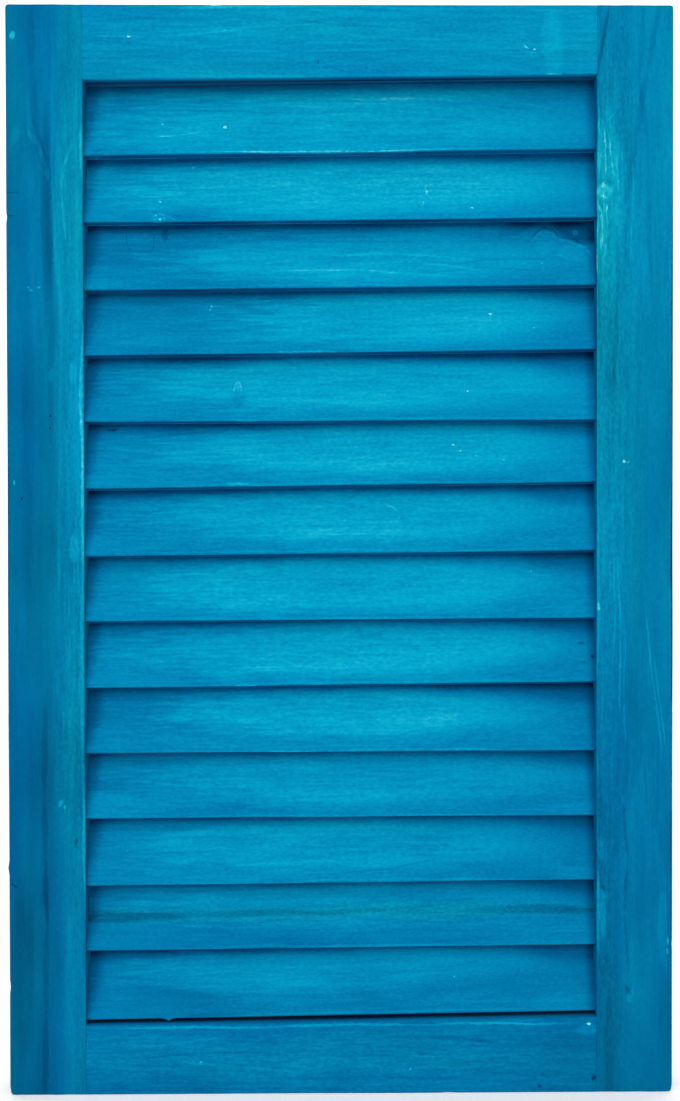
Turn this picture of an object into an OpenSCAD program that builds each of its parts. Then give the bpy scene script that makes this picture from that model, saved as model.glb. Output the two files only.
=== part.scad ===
// Louvred shutter leaf: two stiles, two rails and fixed sloping louvres, held by dowelled corners.
// Millimetres. +Z is up and the front faces -Y. The origin is under the middle of the bottom edge,
// half way through the leaf's thickness.

/* [Leaf] */
// Overall width of the leaf
leaf_w = 366; // [300:1:450]
// Overall height of the leaf
leaf_h = 600; // [560:1:640]
// Thickness of the frame timber
leaf_t = 27; // [26:0.5:32]
// Radius of the sanded arris round the outside of the leaf
outer_arris_r = 1.5; // [0.5:0.1:2.5]
// Radius of the sanded arris round the opening
inner_arris_r = 1; // [0.5:0.1:1.5]

/* [Frame] */
// Width of each stile
stile_w = 42; // [38:1:55]
// Depth of the top rail at mid-span
top_rail_h = 39.5; // [38:0.5:60]
// Depth of the bottom rail at mid-span
bottom_rail_h = 40; // [38:0.5:60]
// How much higher the rails' inner edges are at the right than at the left
rise = 3.5; // [3.5:0.25:4.5]

/* [Louvres] */
// Thickness of a louvre
louvre_t = 6; // [5:0.5:7]
// Width of a louvre, from its front edge to its back edge
louvre_d = 42; // [38:0.5:44]
// Lean of a louvre from the vertical, lower edge forward
louvre_lean = 19; // [17:0.5:23]
// Radius of a louvre's arrises
louvre_arris_r = 1; // [0.5:0.1:1.5]
// Air between a rail and the louvre next to it
rail_gap = 1; // [1:0.5:3]
// Depth of the housings that hold the louvres' ends
housing_depth = 8; // [5:0.5:10]
// Play round a louvre in its housing
housing_play = 0.1; // [0.05:0.05:0.3]

/* [Dowels] */
// Diameter of a dowel
dowel_d = 8; // [6:1:10]
// Length of a dowel
dowel_l = 40; // [30:1:50]
// Play between a dowel's side and its bore, for the glue
dowel_play = 0.05; // [0.05:0.01:0.1]

/* [Hidden] */
$fn = 48;
// The housings were marked out by hand, so each louvre, from the top down, sits a little above or
// below its even place, and its right end is a little higher than its left.
louvre_lift = [0.5, 0, -0.5, 0.5, -0.5, 0.5, -0.5, -0.5, 0, -0.5, 0, 0, 0.5, -0.5];
louvre_slant = [4, 3, 3, 3.5, 1, 3.5, 3, 1.5, 3, 1, 1, 2.5, 2.5, 4];
louvre_count = len(louvre_lift);
corner_r = 3;          // rounding of the leaf's four outer corners, seen from the front
dowel_chamfer = 1;
end_play = 0.5;        // free space past each end of a louvre or a dowel
cut_over = 1;          // how far a cutter runs past the face that it opens

opening_w = leaf_w - 2 * stile_w;
opening_top = leaf_h - top_rail_h;
slope = atan(rise / opening_w);
louvre_l = opening_w + 2 * (housing_depth - end_play);
louvre_rise = louvre_d * cos(louvre_lean);       // from the front lower arris to the top
louvre_drop = louvre_t * sin(louvre_lean);       // from the front lower arris to the lowest point
louvre_depth = louvre_d * sin(louvre_lean) + louvre_t * cos(louvre_lean);
first_louvre_z = opening_top - rail_gap - louvre_rise;
last_louvre_z = bottom_rail_h + rail_gap + louvre_drop;
louvre_pitch = (first_louvre_z - last_louvre_z) / (louvre_count - 1);

SIDES = ["left", "right"];
ENDS = ["top", "bottom"];
PLACES = ["outer", "inner"];

function louvre_name(n) = str("louvre_", n < 10 ? "0" : "", n);
function dowel_name(end, side, place) = str("dowel_", end, "_", side, "_", place);
function towards(side) = side == "left" ? -1 : 1;
function rail_depth(end) = (end == "top" ? top_rail_h : bottom_rail_h) - rise / 2;
function dowel_inset(end, place) = rail_depth(end) * (place == "outer" ? 0.25 : 0.75);
function dowel_z(end, place) =
    end == "top" ? leaf_h - dowel_inset(end, place) : dowel_inset(end, place);

// A rectangle about its centre with true round corners.
module rounded_rect(w, h, r) {
    square([w - 2 * r, h], center = true);
    square([w, h - 2 * r], center = true);
    for (x = [-1, 1], y = [-1, 1])
        translate([x * (w / 2 - r), y * (h / 2 - r)]) circle(r);
}

// Turns a section drawn in XY so that its X runs to the back, its Y runs up and it sweeps along X.
module along_x() {
    rotate([90, 0, 90]) children();
}

// The leaf as one block with every outer arris and corner rounded. Each frame member is cut from
// it, so the members stay flush where they meet.
module leaf_block() {
    intersection() {
        linear_extrude(leaf_h) rounded_rect(leaf_w, leaf_t, outer_arris_r);
        translate([-leaf_w / 2, 0, leaf_h / 2]) along_x()
            linear_extrude(leaf_w) rounded_rect(leaf_t, leaf_h, outer_arris_r);
        translate([0, leaf_t / 2, leaf_h / 2]) rotate([90, 0, 0])
            linear_extrude(leaf_t) rounded_rect(leaf_w, leaf_h, corner_r);
    }
}

// What is taken off the arris along Z to round it, where the timber lies towards +X and +Y.
module arris_cut(length) {
    linear_extrude(length, center = true) difference() {
        translate([-cut_over, -cut_over]) square(cut_over + inner_arris_r);
        translate([inner_arris_r, inner_arris_r]) circle(inner_arris_r);
    }
}

module front_and_back() {
    children();
    mirror([0, 1, 0]) children();
}

module stile_arrises(side) {
    middle = (opening_top + bottom_rail_h + towards(side) * rise) / 2;
    front_and_back()
        mirror([side == "left" ? 1 : 0, 0, 0])
            translate([opening_w / 2, -leaf_t / 2, middle])
                arris_cut(opening_top - bottom_rail_h);
}

// A long bar with the section of a rail and rounded arrises. Its edge along the opening crosses
// X = 0 at z, and its timber lies above that edge if up is 1, or below it if up is 0.
module rail_bar(z, up) {
    bar_h = 2 * max(top_rail_h, bottom_rail_h);
    translate([0, 0, z]) rotate([0, -slope, 0]) mirror([0, 0, 1 - up])
        translate([-leaf_w / 2, 0, bar_h / 2]) along_x()
            linear_extrude(leaf_w) rounded_rect(leaf_t, bar_h, inner_arris_r);
}

// A rail is the part of such a bar that lies inside the leaf's outline and between the stiles.
module rail(end) {
    top = end == "top";
    color("steelblue") difference() {
        intersection() {
            leaf_block();
            rail_bar(top ? opening_top : bottom_rail_h, top ? 1 : 0);
            translate([-opening_w / 2, -leaf_t, -cut_over])
                cube([opening_w, 2 * leaf_t, leaf_h + 2 * cut_over]);
        }
        dowel_bores([end]);
    }
}

// A louvre on the line X = 0: its front lower arris lies on Z = 0 and it leans back from there,
// half way through the leaf. Grown by play on every side, it is the cutter for its housings.
module louvre_bar(length, play) {
    translate([-length / 2, -louvre_depth / 2, 0]) along_x() linear_extrude(length)
        rotate(-louvre_lean) translate([louvre_t / 2, louvre_d / 2])
            rounded_rect(louvre_t + 2 * play, louvre_d + 2 * play, louvre_arris_r + play);
}

module place_louvre(n) {
    translate([0, 0, first_louvre_z - (n - 1) * louvre_pitch + louvre_lift[n - 1]])
        rotate([0, -atan(louvre_slant[n - 1] / opening_w), 0]) children();
}

module louvre_housings() {
    for (n = [1:louvre_count])
        place_louvre(n) louvre_bar(louvre_l + 2 * end_play, housing_play);
}

module place_dowel(end, side, place) {
    translate([towards(side) * opening_w / 2, 0, dowel_z(end, place)])
        rotate([0, 90, 0]) children();
}

// The blind bores for the dowels at the given ends of the leaf.
module dowel_bores(ends) {
    for (end = ends, side = SIDES, place = PLACES)
        place_dowel(end, side, place)
            cylinder(d = dowel_d + 2 * dowel_play, h = dowel_l + 2 * end_play, center = true);
}

module stile(side) {
    color("steelblue") difference() {
        intersection() {
            leaf_block();
            translate([side == "left" ? -leaf_w / 2 : opening_w / 2, -leaf_t / 2, 0])
                cube([stile_w, leaf_t, leaf_h]);
        }
        stile_arrises(side);
        louvre_housings();
        dowel_bores(ENDS);
    }
}

module louvre(n) {
    color("deepskyblue") place_louvre(n) louvre_bar(louvre_l, 0);
}

module dowel(end, side, place) {
    r = dowel_d / 2;
    half = dowel_l / 2;
    color("burlywood") place_dowel(end, side, place) rotate_extrude()
        polygon([
            [0, -half], [r - dowel_chamfer, -half], [r, dowel_chamfer - half],
            [r, half - dowel_chamfer], [r - dowel_chamfer, half], [0, half]
        ]);
}

stile("left");  // stile_left
stile("right");  // stile_right
rail("top");  // top_rail
rail("bottom");  // bottom_rail
for (n = [1:louvre_count])
    louvre(n);
for (end = ENDS, side = SIDES, place = PLACES)
    dowel(end, side, place);
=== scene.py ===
import math

import bmesh
import bpy
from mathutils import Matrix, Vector


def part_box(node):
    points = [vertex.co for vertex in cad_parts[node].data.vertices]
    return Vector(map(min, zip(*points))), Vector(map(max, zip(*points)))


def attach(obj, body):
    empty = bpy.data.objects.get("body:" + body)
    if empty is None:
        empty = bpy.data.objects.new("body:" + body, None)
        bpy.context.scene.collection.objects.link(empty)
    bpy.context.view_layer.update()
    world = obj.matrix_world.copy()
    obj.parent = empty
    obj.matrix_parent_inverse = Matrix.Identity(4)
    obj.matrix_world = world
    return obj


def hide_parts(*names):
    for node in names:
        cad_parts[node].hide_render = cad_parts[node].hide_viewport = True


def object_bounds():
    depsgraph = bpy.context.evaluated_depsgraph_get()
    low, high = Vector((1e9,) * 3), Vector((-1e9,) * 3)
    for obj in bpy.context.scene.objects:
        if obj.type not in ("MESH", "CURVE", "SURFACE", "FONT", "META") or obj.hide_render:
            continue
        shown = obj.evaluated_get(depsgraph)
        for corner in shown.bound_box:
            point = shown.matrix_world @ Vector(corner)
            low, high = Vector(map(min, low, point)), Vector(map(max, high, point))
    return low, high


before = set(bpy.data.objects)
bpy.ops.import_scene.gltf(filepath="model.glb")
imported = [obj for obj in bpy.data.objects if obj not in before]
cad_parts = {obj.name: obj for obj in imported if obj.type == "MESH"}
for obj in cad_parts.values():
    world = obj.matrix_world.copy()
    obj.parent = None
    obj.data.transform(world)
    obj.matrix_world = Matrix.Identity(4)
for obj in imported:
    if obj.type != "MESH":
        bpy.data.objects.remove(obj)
cad_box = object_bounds()

# Stiles: the two uprights, planed from pine, 42 x 27 mm and 600 mm long. Their inner edges are
# housed for the ends of the louvres and bored for the dowels of the rails. They are rubbed with a
# thin blue stain that lets the grain through, and it is worn off along the arrises.
MM = 0.001
OUTER_ARRIS = 1 * MM
INNER_ARRIS = 0.7 * MM
JOINT_ARRIS = 0.2 * MM
OUTER_CORNER = 1.6 * MM
SLICE_ALONG = 2 * MM
SLICE_ACROSS = 1.75 * MM
SLICE_THROUGH = 2.7 * MM
# The height, width and length of the ripples that a hand plane leaves.
FRAME_RIPPLES = (0.5 * MM, 14 * MM, 150 * MM)
LEAF_TOP = cad_box[1][2]
FRONT = cad_box[0][1]
BACK = cad_box[1][1]
# Edges are picked by place, to within NEAR, and by direction: one lies along an axis if that part
# of its direction is over STRAIGHT. The end of a node is all within END_DEPTH of its last point.
NEAR = 0.1 * MM
STRAIGHT = 0.9
END_DEPTH = 2 * MM
CRISP_ANGLE = math.radians(35)


def block(name, low, high):
    """Adds a box between two corners, and leaves only it selected, in edit mode."""
    bpy.ops.object.select_all(action="DESELECT")
    bpy.ops.mesh.primitive_cube_add(size=1, location=(low + high) / 2, scale=high - low)
    bpy.ops.object.transform_apply(location=True, rotation=True, scale=True)
    piece = bpy.context.object
    piece.name = name
    bpy.ops.object.mode_set(mode="EDIT")
    return piece


def select_edges(piece, wanted):
    """In edit mode, selects only the edges that are wanted, by their direction and middle."""
    bpy.ops.mesh.select_mode(type="EDGE")
    bpy.ops.mesh.select_all(action="DESELECT")
    shape = bmesh.from_edit_mesh(piece.data)
    for edge in shape.edges:
        start, end = (vertex.co for vertex in edge.verts)
        if wanted((end - start).normalized(), (start + end) / 2):
            edge.select_set(True)
    bmesh.update_edit_mesh(piece.data)


def ease(piece, radius, wanted):
    """Rounds the wanted arrises, as a sanding block does."""
    select_edges(piece, wanted)
    bpy.ops.mesh.bevel(offset=radius, segments=3, profile=0.5, affect="EDGES")


def cut_across(axis, place):
    """Cuts every face of the piece in edit mode along a plane across an axis."""
    normal = Vector((0, 0, 0))
    normal[axis] = 1
    bpy.ops.mesh.select_all(action="SELECT")
    bpy.ops.mesh.bisect(plane_co=normal * place, plane_no=normal)


def slice_up(piece, spacings):
    """Cuts the piece into even slices across each axis, so that its faces can be shaped."""
    for axis, spacing in enumerate(spacings):
        places = [vertex.co[axis] for vertex in bmesh.from_edit_mesh(piece.data).verts]
        low, high = min(places), max(places)
        count = max(1, round((high - low) / spacing))
        for n in range(1, count):
            cut_across(axis, low + (high - low) * n / count)


def roughen(piece, ripples, grain):
    """Raises and sinks the surface a little, in ripples that run along the grain's axis."""
    height, width, length = ripples
    bpy.ops.object.empty_add()
    stretch = bpy.context.object
    stretch.scale = [length if axis == grain else width for axis in range(3)]
    bpy.context.view_layer.update()
    clouds = bpy.data.textures.new("hand_planed", "CLOUDS")
    clouds.noise_scale = 1
    rippled = piece.modifiers.new("rippled", "DISPLACE")
    rippled.texture = clouds
    rippled.texture_coords = "OBJECT"
    rippled.texture_coords_object = stretch
    rippled.strength = height
    rippled.mid_level = 0.5
    bpy.ops.object.select_all(action="DESELECT")
    bpy.context.view_layer.objects.active = piece
    bpy.ops.object.modifier_apply(modifier=rippled.name)
    bpy.data.objects.remove(stretch)


def cut_out(piece, cutter):
    """Takes the cutter's shape out of the piece."""
    bpy.ops.object.select_all(action="DESELECT")
    bpy.context.view_layer.objects.active = piece
    opening = piece.modifiers.new("opening", "BOOLEAN")
    opening.object = cutter
    opening.solver = "EXACT"
    bpy.ops.object.modifier_apply(modifier=opening.name)


def join_up(name, pieces):
    """Joins several objects into one with that name."""
    bpy.ops.object.select_all(action="DESELECT")
    for piece in pieces:
        piece.select_set(True)
    bpy.context.view_layer.objects.active = pieces[0]
    bpy.ops.object.join()
    bpy.context.object.name = name
    return bpy.context.object


def shade(piece):
    """Shades the broad faces smooth and keeps the arrises crisp."""
    bpy.ops.object.select_all(action="DESELECT")
    piece.select_set(True)
    bpy.context.view_layer.objects.active = piece
    bpy.ops.object.shade_smooth_by_angle(angle=CRISP_ANGLE)


def end_heights(node, side):
    """The lowest and highest points of a CAD node at its left (-1) or right (1) end."""
    corners = [vertex.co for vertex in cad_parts[node].data.vertices]
    reach = max(corner.x * side for corner in corners)
    heights = [corner.z for corner in corners if corner.x * side > reach - END_DEPTH]
    return min(heights), max(heights)


def linear(code):
    """An sRGB hex colour as linear red, green, blue and alpha."""
    parts = [int(code[n:n + 2], 16) / 255 for n in (0, 2, 4)]
    return [p / 12.92 if p <= 0.04045 else ((p + 0.055) / 1.055) ** 2.4 for p in parts] + [1]


def add(tree, kind, links, stops=(), **settings):
    """Adds a node. Links give its sockets a value or another node's output."""
    node = tree.nodes.new("ShaderNode" + kind)
    for name, value in settings.items():
        setattr(node, name, value)
    for number, (place, code) in enumerate(stops):
        ramp = node.color_ramp.elements
        stop = ramp[number] if number < 2 else ramp.new(place)
        stop.position = place
        stop.color = linear(code)
    for socket, value in links.items():
        if isinstance(value, bpy.types.NodeSocket):
            tree.links.new(value, node.inputs[socket])
        else:
            node.inputs[socket].default_value = value
    return node.outputs


# The stain from where it lies thick, through where it is rubbed thin, to where it is worn off: as
# it was put on, and as the weather turns it greener.
STAIN = (
    (0.00, "00193f"), (0.12, "01345f"), (0.25, "025381"), (0.38, "016ca0"), (0.50, "0283b4"),
    (0.62, "0296c2"), (0.74, "03a7cc"), (0.84, "1cb4d2"), (0.93, "4cc6dc"), (1.00, "8cdce8"),
)
GREENED_STAIN = (
    (0.00, "001c38"), (0.12, "013855"), (0.25, "025772"), (0.38, "02708e"), (0.50, "0486a0"),
    (0.62, "0899b0"), (0.74, "10aabb"), (0.84, "2ab8c4"), (0.93, "58c8cc"), (1.00, "98dcd0"),
)
# Cells of noise in each metre along and across the grain, and their detail: clouds of stain, green
# weathering, growth rings, fibres and pores. Real pores are too fine to show, so they are coarser.
GRAIN = {
    "cloud": (12, 34, 3), "weather": (6, 50, 2), "ring": (5, 230, 4), "fibre": (50, 600, 3),
    "pore": (380, 800, 2),
}
# How much each of them changes the stain's thinness. The rings' change is each board's own.
SWING = {"cloud": 0.25, "fibre": 0.17, "pore": 0.18}
# How far the noise is moved on from one board to the next, in its cells.
NEXT_BOARD = (7.3, 3.1, 5.7)
# In mm: how far a mark's outline wavers, how far a thinned patch frays along and across, from what
# half length and half width it frays, and how deep a mark goes. BARE is the change of a bare knot.
WAVER = 6
FINE_WAVER = 1.5
FRAY = (70, 3)
FRAYS_FROM = (20, 2)
MARK_DEPTH = 4
BARE = 0.25


def line(places, half_width, change):
    """The marks that draw a line through places along and across a board. Each is a little longer
    than its stretch, so that they run together."""
    return tuple(
        ((a + c) / 2, (b + d) / 2, math.dist((a, b), (c, d)) * 0.65, half_width,
         math.degrees(math.atan2(b - d, c - a)), change)
        for (a, b), (c, d) in zip(places, places[1:]))


def speck(along, across, size=0.8):
    """The mark of a small fleck that is nearly bare of stain, more so where it is larger."""
    return (along, across, size * 1.5, size, 0, size * 0.6)


def stained_pine(name, number, centre, turn, face, look, marks, arrises, weathered):
    """Pine rubbed with thin stain: to the eye a matt, deep blue that turns to cyan where it lies
    thin and lets the grain through. The number keeps two boards from having the same grain. The
    centre and the turn lay out the board's own axes: X runs along the grain, Y to the back and Z
    across the board, with its front at Y = face. The look is how thin the stain lies, from 0 to 1,
    how much that changes between growth rings, and how green it has turned. Each mark is a place
    along and across, a half length, a half width, a tilt in degrees and a change of thinness. Some
    marks are painted shade, and the pale middle of each louvre is thin stain and painted sheen.
    Each arris mark, worn or painted shade, is a place through and across, its start and end along,
    a half width and a change. Each weathered part is a place, a half length, a half width, how much
    greener it is, and how much more its grain shows."""
    tone, streaks, greened = look
    material = bpy.data.materials.new(name)
    material.use_nodes = True
    tree = material.node_tree
    tree.nodes.clear()
    place = add(tree, "TexCoord", {})["Object"]
    board = add(tree, "Mapping", {"Vector": place, "Location": centre, "Rotation": turn},
                vector_type="TEXTURE")[0]

    swings = {}
    for kind, (along, across, detail) in GRAIN.items():
        stretched = add(tree, "Mapping", {
            "Vector": board, "Scale": (along, across, across),
            "Location": [step * number for step in NEXT_BOARD]})[0]
        noise = add(tree, "TexNoise", {"Vector": stretched, "Scale": 1, "Detail": detail})
        swings[kind] = add(tree, "VectorMath", {0: noise["Color"], 1: (0.5, 0.5, 0.5)},
                           operation="SUBTRACT")[0]
    amounts = {}
    for kind, change in {**SWING, "ring": streaks}.items():
        one = add(tree, "SeparateXYZ", {0: swings[kind]})[0]
        amounts[kind] = add(tree, "Math", {0: one, 1: change}, operation="MULTIPLY")[0]

    # A thin patch frays out along the fibres, by centimetres; the pale middle of each louvre is
    # such a patch, thin stain and painted sheen. Thick stain, painted shade, a bare knot, lines and
    # small flecks only waver a little.
    wavering = board
    for kind, waver in (("cloud", WAVER), ("pore", FINE_WAVER)):
        wavering = add(tree, "VectorMath", {
            0: swings[kind], 1: (waver * MM, 0, waver * MM), 2: wavering},
            operation="MULTIPLY_ADD")[0]
    frayed = add(tree, "VectorMath", {
        0: swings["fibre"], 1: (FRAY[0] * MM, 0, FRAY[1] * MM), 2: wavering},
        operation="MULTIPLY_ADD")[0]
    thinness = add(tree, "Math", {0: amounts["cloud"], 1: tone}, operation="ADD")[0]
    spots = [((along, face, across), (half_length, MARK_DEPTH, half_width), tilt, change)
             for along, across, half_length, half_width, tilt, change in marks]
    spots += [(((start + end) / 2, through, across), ((end - start) / 2, half_width, half_width), 0,
               change) for through, across, start, end, half_width, change in arrises]
    for middle, size, tilt, change in spots:
        thin_stain_and_sheen_patch = (size[0] > FRAYS_FROM[0] and size[2] > FRAYS_FROM[1]
                      and 0 < change < BARE)
        spot = add(tree, "Mapping", {
            "Vector": frayed if thin_stain_and_sheen_patch else wavering, "Location": Vector(middle) * MM,
            "Scale": Vector(size) * MM, "Rotation": (0, math.radians(tilt), 0)},
            vector_type="TEXTURE")[0]
        mask = add(tree, "TexGradient", {"Vector": spot}, gradient_type="SPHERICAL")["Fac"]
        soft = add(tree, "MapRange", {"Value": mask, "From Max": 0.5, "To Max": change},
                   interpolation_type="SMOOTHSTEP")[0]
        thinness = add(tree, "Math", {0: soft, 1: thinness}, operation="ADD")[0]

    # The grain shows more where the stain is thin, and where weather has opened it.
    shows = add(tree, "MapRange", {"Value": thinness, "From Min": 0.35, "From Max": 0.75,
                                   "To Min": 0.35, "To Max": 1.4})[0]
    weather = add(tree, "SeparateXYZ", {0: swings["weather"]})[0]
    weather = add(tree, "MapRange", {"Value": weather, "From Min": -0.15, "From Max": 0.15,
                                     "To Max": greened})[0]
    for along, across, half_length, half_width, greener, opened in weathered:
        part = add(tree, "Mapping", {
            "Vector": frayed, "Location": Vector((along, face, across)) * MM,
            "Scale": Vector((half_length, MARK_DEPTH, half_width)) * MM}, vector_type="TEXTURE")[0]
        part = add(tree, "TexGradient", {"Vector": part}, gradient_type="SPHERICAL")["Fac"]
        weather = add(tree, "Math", {0: part, 1: greener, 2: weather}, operation="MULTIPLY_ADD")[0]
        shows = add(tree, "Math", {0: part, 1: opened, 2: shows}, operation="MULTIPLY_ADD")[0]
    for kind in ("ring", "fibre", "pore"):
        thinness = add(tree, "Math", {0: amounts[kind], 1: shows, 2: thinness},
                       operation="MULTIPLY_ADD")[0]

    fresh = add(tree, "ValToRGB", {"Fac": thinness}, STAIN)[0]
    aged = add(tree, "ValToRGB", {"Fac": thinness}, GREENED_STAIN)[0]
    stain = add(tree, "Mix", {0: weather, 6: fresh, 7: aged}, data_type="RGBA")[2]
    height = add(tree, "Math", {0: amounts["fibre"], 1: 2, 2: amounts["pore"]},
                 operation="MULTIPLY_ADD")[0]
    relief = add(tree, "Bump", {"Height": height, "Strength": 0.4, "Distance": 0.3 * MM})[0]
    rough = add(tree, "MapRange", {"Value": thinness, "To Min": 0.8, "To Max": 0.95})[0]
    # Thin stain leaves the wood dry, so it has next to no gloss, even at a grazing angle.
    shader = add(tree, "BsdfPrincipled", {
        "Base Color": stain, "Roughness": rough, "Specular IOR Level": 0.005, "IOR": 1.5,
        "Normal": relief})[0]
    add(tree, "OutputMaterial", {"Surface": shader})
    return material


louvre_names = sorted(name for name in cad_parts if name.startswith("louvre_"))
dowel_names = sorted(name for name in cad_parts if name.startswith("dowel_"))
LOUVRE_THICKNESS = 6 * MM
LOUVRE_WIDTH = 42 * MM
LOUVRE_LEAN = math.radians(19)
HOUSING_PLAY = 0.3 * MM
BORE_PLAY = 0.1 * MM
CUT_OVER = 1 * MM


def louvre_place(node):
    """The middle of a CAD louvre, and how far it slopes up to the right."""
    low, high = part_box(node)
    left, right = (sum(end_heights(node, side)) / 2 for side in (-1, 1))
    slant = math.atan((right - left) / (high.x - low.x))
    return Vector((0, (low.y + high.y) / 2, (left + right) / 2)), slant


housings = []
for node in louvre_names:
    low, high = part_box(node)
    middle, slant = louvre_place(node)
    bpy.ops.object.select_all(action="DESELECT")
    bpy.ops.mesh.primitive_cube_add(
        size=1, location=middle, rotation=(-LOUVRE_LEAN, -slant, 0),
        scale=(high.x - low.x + 2 * CUT_OVER, LOUVRE_THICKNESS + 2 * HOUSING_PLAY,
               LOUVRE_WIDTH + 2 * HOUSING_PLAY))
    housings.append(bpy.context.object)
housings = join_up("housings", housings)

bores = []
for node in dowel_names:
    low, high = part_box(node)
    bpy.ops.object.select_all(action="DESELECT")
    bpy.ops.mesh.primitive_cylinder_add(
        vertices=32, radius=(high.z - low.z) / 2 + BORE_PLAY,
        depth=high.x - low.x + 2 * CUT_OVER, location=(low + high) / 2,
        rotation=(0, math.radians(90), 0))
    bores.append(bpy.context.object)
bores = join_up("bores", bores)

# Two splits across the left stile's outer arris: their length, depth and height, and their middle.
splits = []
for size, middle in (((8, 3, 0.25), (-180, -13.5, 497)), ((4, 2, 0.25), (-180, -13.5, 484.5))):
    bpy.ops.object.select_all(action="DESELECT")
    bpy.ops.mesh.primitive_cube_add(size=1, location=Vector(middle) * MM, scale=Vector(size) * MM)
    splits.append(bpy.context.object)
splits = join_up("splits", splits)
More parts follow.
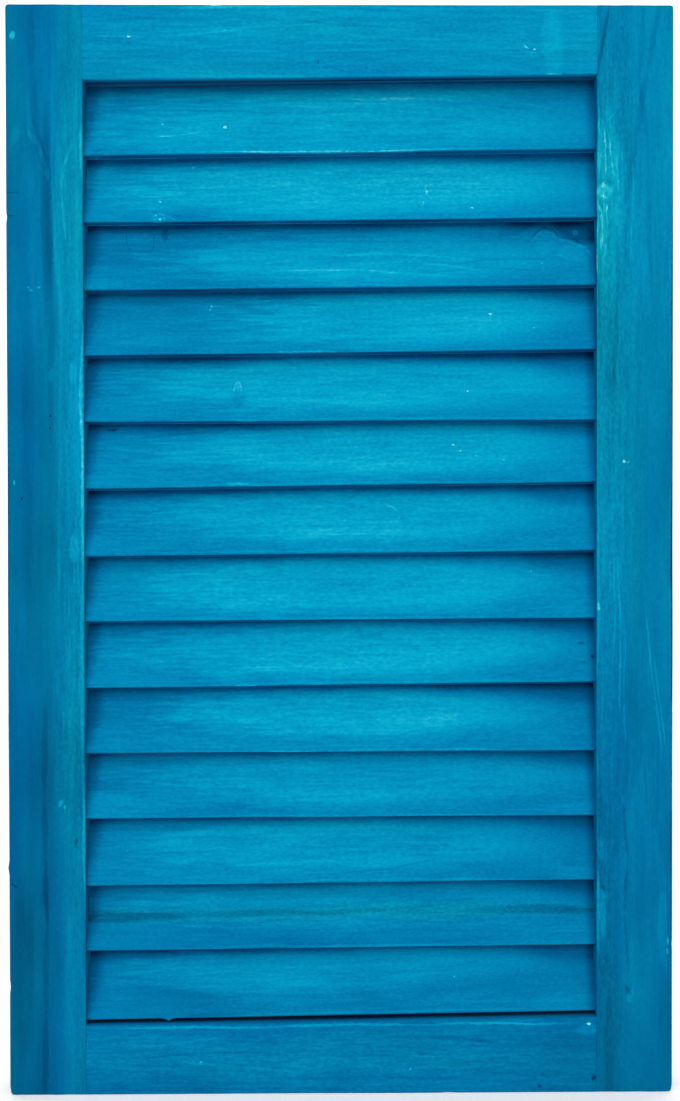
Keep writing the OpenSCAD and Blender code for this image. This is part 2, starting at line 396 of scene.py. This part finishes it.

# For each stile: its side, its look, its marks, its arris marks, worn or painted shade, its dents
# and its weathered parts. Places are measured down from the top and right of the board's middle
# line. A dent is a place, a reach, how far it is pushed in, and how far it is pushed right.
STILES = {
    "stile_left": (-1, (0.36, 0.2, 0.6), (
        # The first two marks make the stile lighter at the top and darker at the foot.
        (0, 0, 260, 60, 0, 0.04), (600, 0, 300, 60, 0, -0.05), (330, 15, 480, 14, 0, 0.06),
        (130, 14, 100, 11, 0, 0.08), (255, 16, 60, 7, 0, 0.08), (350, 17, 60, 6, 0, 0.05),
        (450, 13, 110, 10, 0, 0.05), (540, 15, 70, 8, 0, 0.04), (71.5, -15.5, 7, 3, 20, 0.05),
        (17, -17, 3, 2, 20, 0.35),
        (115, 1, 70, 4, 0, -0.1), (530, -14, 60, 8, 0, -0.06), (240, -9, 120, 5, 0, -0.05),
        (297, 16, 10, 3.5, 0, 0.14), (202, 16, 8, 3, 0, 0.12), (203, 4, 5, 2.5, 0, 0.07),
        (438, 8, 3, 1.6, 30, 0.22), (440.5, 10, 1.5, 0.8, 0, 0.3), (460, 16, 3, 1.4, 10, -0.15),
        (155, -9, 1, 0.8, 0, 0.28), (156.5, -7.5, 0.7, 1.6, 30, 0.22),
        (155.5, -3.5, 1, 0.8, 0, 0.3), (225, 3, 1.2, 0.7, 0, -0.2), (232, 3, 1, 0.6, 0, -0.2),
        (270.5, -13, 1.2, 0.7, 0, -0.25), (261.5, -18, 1.5, 0.7, 0, 0.4),
        (117, -20.5, 2, 1, 0, 0.5),
    ) + line(((0, -7), (36, -7), (69, -4.5), (92, 0.5)), 2.8, -0.05)
        + line(((68, -9), (77, -3.5), (90, 1), (97, 1.5)), 1.6, 0.07)
        + line(((62, -6), (78, -1), (90, 3)), 1.6, -0.03)
        + line(((77, 15), (90, 10), (102, 9.5), (130, 11)), 1, 0.13)
        + line(((92, 0.5), (116, 1.5), (157, 3), (239, 3.5)), 2.2, -0.04)
        + line(((382, -1), (437, -1.5), (471, -1.5), (506, -1), (554, -1), (600, -1)), 2.2, -0.06)
        + line(((471, -1.5), (506, -1)), 1.4, -0.05)
        + line(((482.5, -19.5), (485, -16)), 0.7, -0.15)
        + line(((20, 6), (90, 4), (200, 9), (330, 8)), 1.5, 0.05), (
        (-13, 20.5, 42, 560, 1.3, 0.12), (-13, 20.5, 150, 330, 1.6, 0.22),
        (-13, 20.5, 60, 100, 1.4, 0.18), (-13, 20.5, 420, 500, 1.3, 0.18),
        # Painted shade along the outer arris.
        (-12.5, -21, 0, 600, 1.2, -0.15),
    ), (
        (474, -21, 4, 0, -0.6), (116, -21, 3, 0.3, 0.5), (460, 16, 4, 0.4, 0), (17, -17, 4, 0.3, 0),
        (170, 21, 6, 0.2, -0.4), (320, 21, 5, 0.2, -0.4), (540, -21, 5, 0.1, 0.4),
        (599, -21, 4, 0.3, 0.4),
    ), ((320, 19, 400, 18, 0.2, 1),)),
    "stile_right": (1, (0.43, 0.15, 0.4), (
        # The first two marks make the stile lighter at the top and darker at the foot.
        (90, 0, 240, 60, 0, 0.05), (600, 0, 300, 60, 0, -0.08), (105, -14, 70, 10, 0, 0.12),
        (300, -13, 260, 9, 0, 0.03), (560, -14, 70, 9, 0, -0.02), (490, 4, 90, 18, 0, 0.07),
        (230, 9, 100, 20, 0, -0.05), (112, -16, 5, 2, 0, 0.12), (102.5, -16.5, 5.5, 5, 0, 0.25),
        (102.5, -16.5, 3, 3, 0, -0.12), (104.5, -15, 0.8, 0.8, 0, -0.12),
        (101, -18, 0.9, 0.9, 0, -0.1), (106, -17.5, 0.7, 0.7, 0, -0.1),
        (544, -3, 4, 1.6, -30, -0.12), (547, -2, 5, 2, 20, 0.1), (251, -5.5, 1, 1.2, 0, 0.45),
        (251.5, -3.5, 0.8, 0.7, 0, 0.3), (515, 18.5, 3, 0.6, 0, 0.35), (521, 18, 2, 0.5, 0, 0.3),
        (505, 16, 30, 4, 0, 0.07),
        (577, -13, 30, 4, 0, -0.04), (554, -14, 12, 2, 0, -0.04), (331, -20.5, 3, 1.2, 0, 0.3),
        (443, -5, 2, 1, 20, -0.1), (464, -19, 9, 2, 0, 0.12), (500, -18, 18, 2.5, 0, 0.15),
        (486, -17.5, 2, 2, 0, -0.12),
    ) + line(((0, -15), (36.5, -20.5)), 1.3, -0.16)
        + line(((0, 13), (36, 6.5), (74, -0.5), (110, -6)), 2.2, -0.06)
        + line(((0, 4), (40, 2), (75, 6), (160, 9)), 2, -0.05)
        + line(((55, -20.5), (74, -19.5), (94, -20)), 0.8, 0.2)
        + line(((62, -18.5), (78, -18.5), (93, -19)), 0.6, 0.22)
        + line(((68, -17), (80, -16), (94, -16)), 0.6, 0.24)
        + line(((71, -14.5), (84, -13), (96, -11.5)), 0.6, 0.22)
        + line(((78, -10.5), (92, -10), (108, -9)), 0.6, 0.12)
        + line(((98, -19.5), (96, -16), (98.5, -11.5)), 0.8, -0.12)
        + line(((109, -20), (114, -18), (122, -17.5), (134, -18)), 1, 0.22)
        + line(((110, -15), (122, -14.5), (138, -16)), 0.6, 0.12)
        + line(((132, -21), (143, -20.5), (156, -21)), 0.7, 0.3)
        + line(((87, -6), (106, -5), (121, -5.5)), 0.6, 0.1)
        + line(((85, -2), (116, -1.5), (150, -3)), 0.6, 0.08)
        + line(((120, -9.5), (161, -9), (210, -11)), 1.5, -0.08)
        + line(((302, -9.5), (345, -8), (390, -7.5)), 0.7, 0.12)
        + line(((299, -12), (330, -11.5), (362, -12)), 0.6, 0.1)
        + line(((344, -5), (375, -5.5), (406, -4.5)), 0.6, 0.09)
        + line(((330, 6), (370, 10), (412, 14)), 0.7, 0.12)
        + line(((358, 11), (385, 13.5), (410, 16)), 0.6, 0.1)
        + line(((440, -6), (470, -3), (500, -5), (530, -3)), 1.2, -0.06), (
        (-13, -20.5, 42, 560, 1.2, 0.12), (-13, -20.5, 95, 168, 1.5, 0.2),
        # The last of these is painted shade along the outer arris.
        (-13, -20.5, 470, 530, 1.6, 0.15), (-12.5, 20.5, 0, 600, 1.6, -0.3),
    ), (
        (102.5, -17, 5, 0.5, 0), (95.5, -17, 3, -0.3, 0), (60, -21, 6, 0.1, 0.5),
        (80, -21, 5, 0.1, -0.2), (116, -21, 6, 0.2, 0.5), (150, -21, 6, 0.1, 0.3),
        (486, -20, 4, 0.3, 0.3), (544, -3, 4, 0.4, 0), (518, 19, 4, 0.4, -0.3),
        (599, 21, 4, 0.3, -0.4),
    ), ((170, -19, 330, 26, 0.6, 1.2), (500, -18, 140, 20, 0.2, 1))),
}


def press(piece, place, push, reach):
    """Pushes the surface in or out about a place, as a knock or a swollen knot does."""
    bpy.ops.object.select_all(action="DESELECT")
    piece.select_set(True)
    bpy.context.view_layer.objects.active = piece
    bpy.ops.object.mode_set(mode="EDIT")
    bpy.ops.mesh.select_mode(type="VERT")
    bpy.ops.mesh.select_all(action="DESELECT")
    shape = bmesh.from_edit_mesh(piece.data)
    min(shape.verts, key=lambda vertex: (vertex.co - place).length).select_set(True)
    bmesh.update_edit_mesh(piece.data)
    bpy.ops.transform.translate(value=push, use_proportional_edit=True,
                                proportional_edit_falloff="SMOOTH", proportional_size=reach)
    bpy.ops.object.mode_set(mode="OBJECT")


for name, (side, look, marks, arrises, dents, weathered) in STILES.items():
    low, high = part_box(name)
    stile = block(name + "_planed", low, high)
    opening_bottom = end_heights("bottom_rail", side)[1]
    opening_top = end_heights("top_rail", side)[0]
    cut_across(2, opening_bottom)
    cut_across(2, opening_top)
    outer = max(abs(low.x), abs(high.x))
    inner = min(abs(low.x), abs(high.x))
    ease(stile, OUTER_CORNER, lambda way, at: abs(way.y) > STRAIGHT and abs(at.x) > outer - NEAR
         and not NEAR < at.z < LEAF_TOP - NEAR)
    ease(stile, OUTER_ARRIS, lambda way, at: abs(at.y) > BACK - NEAR and abs(at.x) > inner + NEAR
         and (abs(at.x) > outer - OUTER_CORNER
              or not OUTER_CORNER < at.z < LEAF_TOP - OUTER_CORNER))
    ease(stile, INNER_ARRIS, lambda way, at: abs(way.z) > STRAIGHT and abs(at.x) < inner + NEAR
         and abs(at.y) > BACK - NEAR and opening_bottom < at.z < opening_top)
    ease(stile, JOINT_ARRIS, lambda way, at: abs(way.z) > STRAIGHT and abs(at.x) < inner + NEAR
         and abs(at.y) > BACK - NEAR)
    slice_up(stile, (SLICE_ACROSS, SLICE_THROUGH, SLICE_ALONG))
    bpy.ops.object.mode_set(mode="OBJECT")
    roughen(stile, FRAME_RIPPLES, 2)
    middle = (low.x + high.x) / 2
    for down, across, reach, inwards, right in dents:
        press(stile, Vector((middle + across * MM, FRONT, LEAF_TOP - down * MM)),
              (right * MM, inwards * MM, 0), reach * MM)
    for cutter in (housings, bores, splits):
        cut_out(stile, cutter)
    shade(stile)
    stile.data.materials.clear()
    stile.data.materials.append(stained_pine(
        "stained_pine_" + name, side, (middle, 0, LEAF_TOP), (0, math.radians(90), 0), FRONT / MM,
        look, marks, arrises, weathered))
    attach(stile, "root")
    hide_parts(name)

# Rails: the top and the bottom board between the stiles, of the same stained pine. Their edges
# along the opening were sawn a little out of level, and two dowels hold each end against a stile
# with a hairline joint.

# For each rail: whether its upper edge is the one along the opening, its look, its marks, its
# arris marks, worn or painted shade, and its dents. Places are measured right of the middle and up
# from the middle line.
RAILS = {
    "top_rail": (False, (0.56, 0.09, 0.35), (
        (-80, 6, 60, 12, 0, 0.03), (117, 0, 7, 26, 0, 0.08), (117, -17.5, 6, 1.2, 0, 0.3),
        (0, -14, 90, 6, 0, -0.04), (106, -5, 3, 1, 0, 0.1), (14, -14, 1, 1, 0, -0.12),
        (-12, -10.5, 0.8, 2, 0, -0.15), (80, 12, 60, 7, 0, -0.03),
        speck(-116.5, 3), speck(107, -3, 0.7), speck(-90, -2, 0.4),
    ) + line(((-134, 3), (-122, 3), (-109.5, 3)), 0.7, 0.14)
        + line(((-91, 4.5), (-72, 6), (-55, 7.5)), 1.1, 0.1)
        + line(((-80, 8), (-40, 9), (-10, 10)), 0.7, 0.08)
        + line(((-22, 12), (-6, 10), (30, 9)), 1, -0.08)
        + line(((2, 5), (32, 3), (60, 3)), 1.2, 0.06)
        + line(((-60, -4), (-20, -5), (30, -3)), 1, 0.05)
        + line(((101.5, -0.5), (104, -2.5)), 0.6, 0.3), (
        (-13, 19.5, -100, -40, 1.3, 0.15), (-13, 19.5, -141, 141, 1.2, 0.08),
        (-13, -19, -100, 10, 1.2, 0.1), (-13, -18.5, 0, 141, 1.2, 0.1),
        # Painted shade on the rail's underside along the opening.
        (-5, -21, -600, 600, 7.5, -0.22), (5, -21, -600, 600, 14, -0.22),
    ), (
        (118, -18, 4, 0.6, 0.5), (-70, 19, 6, 0.3, -0.3), (14, -14, 3, 0.3, 0),
        (-100, -18.5, 4, 0.3, 0.4),
    )),
    "bottom_rail": (True, (0.42, 0.12, 0.35), (
        (-60, -3, 70, 14, 0, 0.03), (120, 0, 60, 30, 0, -0.03), (136, 16, 9, 4, 0, 0.1),
        (139.5, -10.5, 2, 1.5, -50, -0.22), (109.5, -15.5, 1.6, 1.3, 0, -0.18),
        (-100, 10, 40, 6, 0, 0.04),
        speck(136, 19, 1), speck(-77.5, -2, 0.6), speck(38.5, -5.5, 0.6),
    ) + line(((-111, 6.5), (-88, 9), (-66, 12)), 1, 0.06)
        + line(((-89, -2), (-60, -4), (-22, -8)), 1.2, 0.05)
        + line(((-110, 0), (-80, 3), (-40, 4)), 0.9, -0.07)
        + line(((49, 11.5), (68, 11), (88, 8.5)), 1.6, -0.08)
        + line(((-30, -12), (20, -10), (80, -12)), 1, -0.05)
        + line(((10, 3), (60, 1), (100, 3)), 0.9, 0.05), (
        (-13, 18, -141, -20, 1.1, 0.22), (-13, 18.5, -60, 80, 1.1, 0.2),
        # The last of these is painted shade along the foot of the leaf.
        (-13, 19.5, 40, 141, 1.2, 0.25), (-12.5, -20.5, -400, 400, 1.4, -0.25),
        # Painted shade on the rail's top face, under the louvres.
        (-4, 18.5, -600, 600, 8, -0.25), (5, 18.5, -600, 600, 14, -0.25),
    ), (
        (139.5, -10.5, 3, 0.5, 0), (109.5, -15.5, 3, 0.5, 0), (136, 19.5, 4, 0.4, -0.4),
        (-95, 18, 4, 0.3, -0.3), (60, -20, 6, 0.2, 0.3),
    )),
}
RAIL_GRAIN = ((0, 0, 400, 60, 0, 0.8),)
for name, (opens_above, look, marks, arrises, dents) in RAILS.items():
    low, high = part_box(name)
    left_edge = end_heights(name, -1)[opens_above]
    right_edge = end_heights(name, 1)[opens_above]
    corner = high if opens_above else low
    corner.z = left_edge
    rail = block(name + "_planed", low, high)
    select_edges(rail, lambda way, at: abs(way.y) > STRAIGHT and at.x > 0
                 and abs(at.z - left_edge) < NEAR)
    bpy.ops.transform.translate(value=(0, 0, right_edge - left_edge))
    middle_height = (low.z + high.z) / 2
    towards = 1 if opens_above else -1
    ease(rail, INNER_ARRIS, lambda way, at: abs(way.x) > STRAIGHT
         and (at.z - middle_height) * towards > 0)
    ease(rail, OUTER_ARRIS, lambda way, at: abs(way.x) > STRAIGHT and abs(at.y) > BACK - NEAR
         and (at.z - middle_height) * towards < 0)
    ease(rail, JOINT_ARRIS, lambda way, at: abs(way.z) > STRAIGHT and abs(at.y) > BACK - NEAR)
    slice_up(rail, (SLICE_ALONG, SLICE_THROUGH, SLICE_ACROSS))
    bpy.ops.object.mode_set(mode="OBJECT")
    roughen(rail, FRAME_RIPPLES, 0)
    for along, across, reach, inwards, up in dents:
        press(rail, Vector((along * MM, FRONT, middle_height + across * MM)),
              (0, inwards * MM, up * MM), reach * MM)
    cut_out(rail, bores)
    shade(rail)
    rail.data.materials.clear()
    rail.data.materials.append(stained_pine(
        "stained_pine_" + name, towards * 2, (0, 0, middle_height), (0, 0, 0), FRONT / MM,
        look, marks, arrises, RAIL_GRAIN))
    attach(rail, "root")
    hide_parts(name)

for cutter in (housings, bores, splits):
    bpy.data.objects.remove(cutter)

# Dowels: two at each corner, 8 mm beech rod with chamfered ends, glued blind into the bores. Beech
# is pale pinkish tan, with fine dark flecks a millimetre or two long that lie along the rod.
beech = bpy.data.materials.new("milled_beech")
beech.use_nodes = True
tree = beech.node_tree
tree.nodes.clear()
place = add(tree, "TexCoord", {})["Object"]
tints = add(tree, "Mapping", {"Vector": place, "Scale": (20, 260, 260)})[0]
tints = add(tree, "TexNoise", {"Vector": tints, "Scale": 1, "Detail": 3})["Fac"]
tint = add(tree, "ValToRGB", {"Fac": tints}, ((0.3, "c4956b"), (0.5, "d3a87c"), (0.7, "e0bb90")))[0]
flecks = add(tree, "Mapping", {"Vector": place, "Scale": (500, 3000, 3000)})[0]
flecks = add(tree, "TexNoise", {"Vector": flecks, "Scale": 1, "Detail": 1})["Fac"]
fleck = add(tree, "MapRange", {"Value": flecks, "From Min": 0.58, "From Max": 0.68})[0]
colour = add(tree, "Mix", {0: fleck, 6: tint, 7: linear("96653f")}, data_type="RGBA")[2]
relief = add(tree, "Bump", {"Height": fleck, "Strength": 0.2, "Distance": 0.1 * MM}, invert=True)[0]
shader = add(tree, "BsdfPrincipled", {
    "Base Color": colour, "Roughness": 0.6, "IOR": 1.5, "Normal": relief})[0]
add(tree, "OutputMaterial", {"Surface": shader})
for node in dowel_names:
    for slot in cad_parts[node].material_slots:
        slot.material = beech

# Louvres: fourteen slats, 42 x 6 mm, sawn from thin pine and slid into the housings, so that they
# lean back from their lower edges. They were stained flat on a bench, thinner in the middle, and
# that paler middle also holds painted sheen.
LOUVRE_LENGTH = 297 * MM
LOUVRE_ARRIS = 0.6 * MM
LOUVRE_RIPPLES = (0.4 * MM, 10 * MM, 120 * MM)
half_slat = Vector((LOUVRE_LENGTH, LOUVRE_THICKNESS, LOUVRE_WIDTH)) / 2
slat = block("slat", -half_slat, half_slat)
ease(slat, LOUVRE_ARRIS, lambda way, at: abs(way.x) > STRAIGHT)
slice_up(slat, (SLICE_ALONG, LOUVRE_THICKNESS, SLICE_ACROSS))
bpy.ops.object.mode_set(mode="OBJECT")

# What all louvres have: painted shade along the top, where the louvre or the rail above covers
# them, near their ends beside the stiles and on the underside, a worn lower arris, and grain that
# is open in the middle.
# Painted shade along each louvre's top, under the louvre above, and in its top right corner.
PAINTED_SHADE_UNDER_NEXT = ((0, 27, 420, 17, 0, -0.32), (136, 17, 50, 16, 0, -0.1))
# Weaker painted shade along the top louvre, under the rail, lightened at its left end.
PAINTED_SHADE_UNDER_THE_RAIL = ((0, 27, 420, 14, 0, -0.08), (-140, 16, 20, 14, 0, 0.1))
# Painted shade at both ends of each louvre, beside the stiles.
PAINTED_SHADE_AT_THE_ENDS = (
    (-146, 10, 15, 36, 0, -0.13), (-146, 24, 30, 22, 0, -0.05), (146, 0, 11, 70, 0, -0.14),
    (-125, -14, 45, 9, 0, 0.03),
)
# Painted shade along each louvre's underside.
PAINTED_SHADE_UNDERSIDE = (0, -21.5, -400, 400, 2.9, -0.27)
FOOT_ARRIS = (-2.6, -20.4, -160, 160, 1, 0.08)
OPEN_GRAIN = ((15, -2, 240, 40, 0, 0.7),)
# The dark band of grain along one louvre, which has turned green.
BANDED_LOUVRE = 13
GREEN_BAND = ((-60, -3, 260, 6, 0.7, 0.5), (100, -2.5, 120, 6, 0.3, 0.5))
LOUVRE_STREAKS = 0.07
LOUVRE_GREENED = 0.1

# For each louvre from the top down: how thin the stain lies on it, its marks and its dents, with
# places measured right of the middle and up from the middle line. The first mark of each is its
# pale middle, thin stain and painted sheen. On the top three louvres, the marks that lighten the
# top edge and corners weaken the painted shade there.
LOUVRES = (
    (0.49, (
        (-5, -5, 165, 24, 0, 0.17), (0, 16, 150, 9, 0, 0.1), (-82, -9, 26, 5, 0, 0.05),
        (-20, 12, 150, 7, 0, 0.06), speck(-63.5, -6, 1), speck(-98, -3, 0.5),
        (-134, -18, 4, 1.2, 0, -0.08), (0, -20.5, 130, 0.6, 0, 0.08), (-5, -20.5, 75, 0.7, 0, 0.1),
    ) + line(((22, 12.5), (44, 11), (66, 9.5)), 0.6, 0.1)
        + line(((-101, -11), (-89, -10.5), (-76, -8)), 0.5, 0.12)
        + line(((-96, -5), (-84, -6), (-72, -5)), 0.5, 0.1)
        + line(((-20, 11), (30, 10), (80, 6), (110, 4)), 0.9, -0.05)
        + line(((-90, 6), (-40, 3), (20, 4)), 0.9, -0.06)
        + line(((75, 14), (95, 9), (122, 4)), 0.7, 0.06),
     ((-134, -20.5, 4, 0.6, 1.2),)),
    (0.49, (
        (4, -1, 162, 25, 0, 0.21), (-101, -19.5, 6, 1.6, 0, 0.12), speck(-82, 11.5, 0.5),
        speck(-99.5, -9, 0.6), speck(-102, -17.5, 0.5), speck(-100, -19.5, 0.6),
        speck(-97.5, -18.5, 0.4), speck(72.5, -14.5, 0.6), speck(-118, -5, 0.4),
        (-94, -18.5, 7, 1.2, -20, -0.05),
        (0, 19, 240, 6, 0, 0.13), (-140, 14, 20, 16, 0, 0.08), (132, 15, 40, 14, 0, 0.1),
    ) + line(((-104, -18), (-101, -16), (-97, -17), (-92, -20)), 0.8, 0.18)
        + line(((-92, 3.5), (-88, -5.5)), 0.9, 0.08)
        + line(((49, 0), (47.5, -1), (48, -3), (49, -4), (47.5, -6)), 0.5, 0.17)
        + line(((46, -10), (44.5, -13.5)), 0.6, 0.17),
     ((-100.5, -19, 5, -0.7, -0.7),)),
    (0.48, (
        (12, -5, 135, 18, 0, 0.17), (25, 14, 100, 8, 0, 0.08), (-98, 12, 2.4, 4, 0, -0.12),
        (114, 4, 8, 7, 10, 0.07), (128, -2, 11, 6, 20, 0.07), (131, 11, 18, 7.5, 22, -0.17),
        (98, 14, 14, 5, -18, -0.08), (136, 17, 46, 14, 0, 0.05), (130.5, 10, 2, 2, 0, 0.2),
        (130.5, 10, 1, 1, 0, -0.1), speck(111, -7.5, 0.5), speck(122, -3, 0.4),
    ) + line(((106, 6), (109, 9.5), (112.5, 11.5), (117.5, 10.5), (120, 6)), 1, 0.1)
        + line(((120, 6), (126, 5.5), (136, 1), (139, -4)), 1, 0.1)
        + line(((106, 8.5), (112, 13.5), (118.5, 12), (121.5, 7.5), (127, 7), (137, 2.5)), 1, -0.11)
        + line(((-119, 13), (-119, 5), (-117, 2), (-105, 2), (-104, 7), (-104, 13)), 0.7, -0.09)
        + line(((-117, 0.5), (-111, 0), (-104, 0.5)), 0.6, 0.07)
        + line(((-6, -2), (30, -1), (75, -5)), 0.9, 0.1)
        + line(((0, -7), (40, -6), (77, -11)), 0.9, 0.1)
        + line(((-40, -12), (10, -11), (60, -15)), 0.9, 0.1)
        + line(((60, -8), (80, -4.5), (96, -4), (112, -5)), 0.9, -0.1)
        + line(((40, -14), (80, -9), (110, -12)), 0.8, -0.06), ()),
    (0.48, (
        (34, -1, 118, 22, 0, 0.22), (-70, -14, 60, 7, 0, 0.05), speck(-72, 7, 0.6),
        speck(-72.5, 5, 0.6), speck(-71, 2, 0.4), speck(83.5, -0.5, 0.8), speck(107, -9, 0.5),
        (-20, -20.5, 22, 0.6, 0, 0.14),
    ), ()),
    (0.49, (
        (6, 1, 155, 20, 0, 0.2), (10, -14, 110, 8, 0, 0.04), (-57, -5, 5, 10, 0, -0.07),
        (-57, -1, 1.6, 3, 0, 0.12), (-52, -20.5, 10, 0.7, 0, 0.2), speck(70, -4, 0.5),
    ) + line(((-59.5, -4), (-59, 0), (-57, 2), (-55.5, 0), (-55, -4)), 0.8, 0.2),
     ((-57, -1, 4, -0.4, 0),)),
    (0.49, (
        (12, 0, 148, 20, 0, 0.21), (0, -14, 120, 8, 0, 0.04), (-127.5, 12.5, 4, 1.1, 0, -0.22),
        (-58, -20, 9, 0.7, 0, 0.2), speck(62, 1, 0.7), speck(66, -2, 0.5), speck(75, -5, 0.4),
        speck(91, -7, 0.4),
    ) + line(((-100, -9), (-89, -9), (-72, -11)), 0.6, 0.06), ()),
    (0.49, ((4, 1, 148, 20, 0, 0.21), (0, -14, 130, 8, 0, 0.04))
        + line(((23, 6), (28.5, 4.5), (32, 0.5), (30.5, -4)), 0.7, 0.12)
        + line(((-62, -2), (-50, 0), (-40, -3)), 0.8, 0.05), ()),
    (0.48, ((2, -1, 145, 21, 0, 0.21), (-10, -14, 120, 8, 0, 0.05), speck(106, 5.5, 0.5),
            (-4, -20.5, 60, 0.6, 0, 0.08))
        + line(((100, 6), (111, 3.5), (118, 3)), 0.7, 0.08), ()),
    (0.48, (
        (4, 0, 152, 20, 0, 0.2), (-10, -14, 110, 8, 0, 0.05), (-53, -20.5, 9, 0.7, 0, 0.2),
        (133, 0.5, 2.2, 1, 0, -0.2), (139, -7, 1.6, 1.6, 0, -0.2), (134.5, -10, 3, 0.8, 0, -0.08),
    ), ((133, 0.5, 3, 0.4, 0), (139, -7, 3, 0.5, 0))),
    (0.47, (
        (6, 1, 130, 17, 0, 0.22), (-10, -14, 100, 8, 0, 0.04), (-24, -20.5, 24, 0.7, 0, 0.22),
        (70, -20.5, 20, 0.6, 0, 0.1),
    ), ()),
    (0.47, ((8, 0, 148, 18, 0, 0.14),)
        + line(((-105, -12), (-85, -14), (-60, -12)), 0.6, 0.05), ()),
    (0.46, ((0, 0, 145, 18, 0, 0.15), (-20, -14, 100, 8, 0, 0.05), speck(-118, -3, 0.5))
        + line(((-5, -17), (27, -14.5), (59, -7.5)), 0.8, -0.08)
        + line(((-60, -18.5), (-30, -17), (-5, -15)), 0.8, 0.05), ()),
    (0.44, (
        (0, 3, 150, 19, 0, 0.12), (-120, -4, 40, 3.4, 0, -0.1), (-40, -2.5, 90, 2.6, 0, -0.09),
        (105, -2.5, 50, 3, 1, -0.11), (-30, 14, 110, 6, 0, -0.03),
    ) + line(((-60, -8), (0, -7), (70, -8)), 0.8, -0.05), ()),
    (0.44, ((-10, 5, 150, 17, 0, 0.15), speck(62, -3, 0.6))
        + line(((-90, 2), (-60, 4), (-30, 2)), 0.8, 0.06),
     ((-95.5, -21, 3, 0, -1.6),)),
)
for number, (node, (tone, marks, dents)) in enumerate(zip(louvre_names, LOUVRES), start=1):
    middle, slant = louvre_place(node)
    # The painted shade along the louvre's top: weaker under the rail for the first louvre.
    painted_shade_above = PAINTED_SHADE_UNDER_THE_RAIL if number == 1 else PAINTED_SHADE_UNDER_NEXT
    bpy.ops.object.select_all(action="DESELECT")
    slat.select_set(True)
    bpy.context.view_layer.objects.active = slat
    bpy.ops.object.duplicate(linked=False)
    louvre = bpy.context.object
    louvre.name = node + "_sawn"
    for along, across, reach, inwards, up in dents:
        press(louvre, Vector((along * MM, -half_slat.y, across * MM)),
              (0, inwards * MM, up * MM), reach * MM)
    louvre.location = middle
    louvre.rotation_euler = (-LOUVRE_LEAN, -slant, 0)
    bpy.ops.object.transform_apply(location=True, rotation=True, scale=True)
    roughen(louvre, LOUVRE_RIPPLES, 0)
    shade(louvre)
    louvre.data.materials.clear()
    louvre.data.materials.append(stained_pine(
        "stained_pine_" + node, number, middle, (-LOUVRE_LEAN, -slant, 0), -half_slat.y / MM,
        (tone, LOUVRE_STREAKS, LOUVRE_GREENED), marks + painted_shade_above + PAINTED_SHADE_AT_THE_ENDS,
        (FOOT_ARRIS, PAINTED_SHADE_UNDERSIDE),
        OPEN_GRAIN + GREEN_BAND if number == BANDED_LOUVRE else OPEN_GRAIN))
    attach(louvre, "root")
    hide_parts(node)
bpy.data.objects.remove(slat)

# Studio: a floor in matt white paint that takes a faint shadow, a backdrop lit to plain white, a
# large soft light above and behind the viewer, a second one overhead that lights the floor and the
# back, and a weak even light from all round.
bpy.ops.mesh.primitive_plane_add(size=2.4)
floor = bpy.context.object
floor.name = "studio_floor"
paint = bpy.data.materials.new("matt_white_floor_paint")
paint.use_nodes = True
surface = paint.node_tree.nodes["Principled BSDF"].inputs
surface["Base Color"].default_value = linear("f0f0ee")
surface["Roughness"].default_value = 0.8
surface["Emission Color"].default_value = (1, 1, 1, 1)
surface["Emission Strength"].default_value = 0.25
floor.data.materials.append(paint)

bpy.ops.mesh.primitive_plane_add(size=12, location=(0, 3, 0), rotation=(math.radians(90), 0, 0))
wall = bpy.context.object
wall.name = "studio_wall"
glow = bpy.data.materials.new("lit_backdrop")
glow.use_nodes = True
surface = glow.node_tree.nodes["Principled BSDF"].inputs
surface["Emission Color"].default_value = (1, 1, 1, 1)
surface["Emission Strength"].default_value = 1
wall.data.materials.append(glow)

scene = bpy.context.scene
scene.view_settings.view_transform = "Standard"
world = bpy.data.worlds.new("studio")
scene.world = world
world.use_nodes = True
sky = world.node_tree.nodes["Background"].inputs
sky["Color"].default_value = (1, 1, 1, 1)
sky["Strength"].default_value = 0.22


def softbox(name, place, aim, size, watts):
    """Adds a soft rectangular lamp that the camera doesn't see."""
    bpy.ops.object.light_add(type="AREA", location=place)
    light = bpy.context.object
    light.name = name
    light.data.shape = "RECTANGLE"
    light.data.size, light.data.size_y = size
    light.data.energy = watts
    light.rotation_euler = (Vector(aim) - Vector(place)).to_track_quat("-Z", "Y").to_euler()
    light.visible_camera = False


softbox("key", place=(-0.1, -2, 1.5), aim=(0, 0, 0.35), size=(2.6, 1.6), watts=36)
softbox("top", place=(0, -0.1, 2.3), aim=(0, -0.1, 0), size=(2.4, 2.4), watts=22)

# The camera stands a metre in front of the leaf, just above and right of its middle, and looks at
# it almost square on.
bpy.ops.object.camera_add(location=(28.8 * MM, -960.5 * MM, 376 * MM))
camera = bpy.context.object
camera.rotation_euler = (math.radians(90 - 0.969), math.radians(0.059), math.radians(-0.63))
camera.data.lens = 56.33
camera.data.shift_x = -0.0654
camera.data.shift_y = -0.0978
scene.camera = camera
